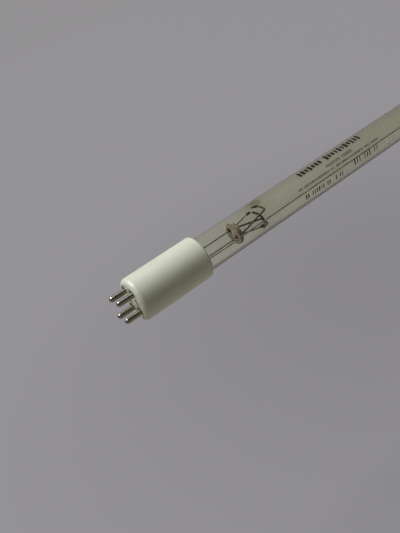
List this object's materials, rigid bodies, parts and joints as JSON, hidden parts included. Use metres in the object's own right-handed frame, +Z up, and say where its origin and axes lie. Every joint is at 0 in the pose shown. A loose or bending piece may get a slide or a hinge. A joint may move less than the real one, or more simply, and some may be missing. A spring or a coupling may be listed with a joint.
{
  "type": "uv sterilizer lamp",
  "caption": "Single-ended germicidal lamp: clear quartz tube cemented between white ceramic caps, contact pins at one end, cathode mounts inside, bare return wires outside.",
  "frame": {"origin": "centre of the pin face, on the lamp's axis, between the contact pins", "axes": "+X along the lamp from the pin face to the far end, +Y along the short side of the pin rectangle, +Z up, along its long side"},
  "size_m": [0.294, 0.0186, 0.0186],
  "materials": {
    "steatite": "satin glazed, slightly warm green white",
    "quartz": "clear drawn fused quartz",
    "cement": "matt set lamp cement",
    "pin_nickel": "nickel plated brass, turned",
    "nickel_wire": "drawn nickel wire, oxidised",
    "anode_nickel": "drawn nickel wire, darkened by heat",
    "molybdenum": "rolled foil",
    "disc_ceramic": "unglazed tan ceramic",
    "tungsten": "coiled tungsten with emitter coating",
    "mercury": "liquid metal",
    "marking_ink": "fired ceramic ink, matt"
  },
  "bodies": {
    "root": {"base_cap": "steatite", "base_cement": "cement", "contact_pin_1": "pin_nickel", "contact_pin_2": "pin_nickel", "contact_pin_3": "pin_nickel", "contact_pin_4": "pin_nickel", "end_cap": "steatite", "end_cap_cement": "cement", "far_anode_wire_1": "anode_nickel", "far_anode_wire_2": "anode_nickel", "far_filament": "tungsten", "far_filament_clamp_1": "nickel_wire", "far_filament_clamp_2": "nickel_wire", "far_foil_1": "molybdenum", "far_foil_2": "molybdenum", "far_insulator_disc": "disc_ceramic", "far_outer_lead_1": "nickel_wire", "far_outer_lead_2": "nickel_wire", "far_support_wire_1": "nickel_wire", "far_support_wire_2": "nickel_wire", "mercury_drop": "mercury", "near_anode_wire_1": "anode_nickel", "near_anode_wire_2": "anode_nickel", "near_filament": "tungsten", "near_filament_clamp_1": "nickel_wire", "near_filament_clamp_2": "nickel_wire", "near_foil_1": "molybdenum", "near_foil_2": "molybdenum", "near_insulator_disc": "disc_ceramic", "near_outer_lead_1": "nickel_wire", "near_outer_lead_2": "nickel_wire", "near_support_wire_1": "nickel_wire", "near_support_wire_2": "nickel_wire", "quartz_tube": "quartz", "return_wire_1": "nickel_wire", "return_wire_2": "nickel_wire"}
  },
  "joints": []
}
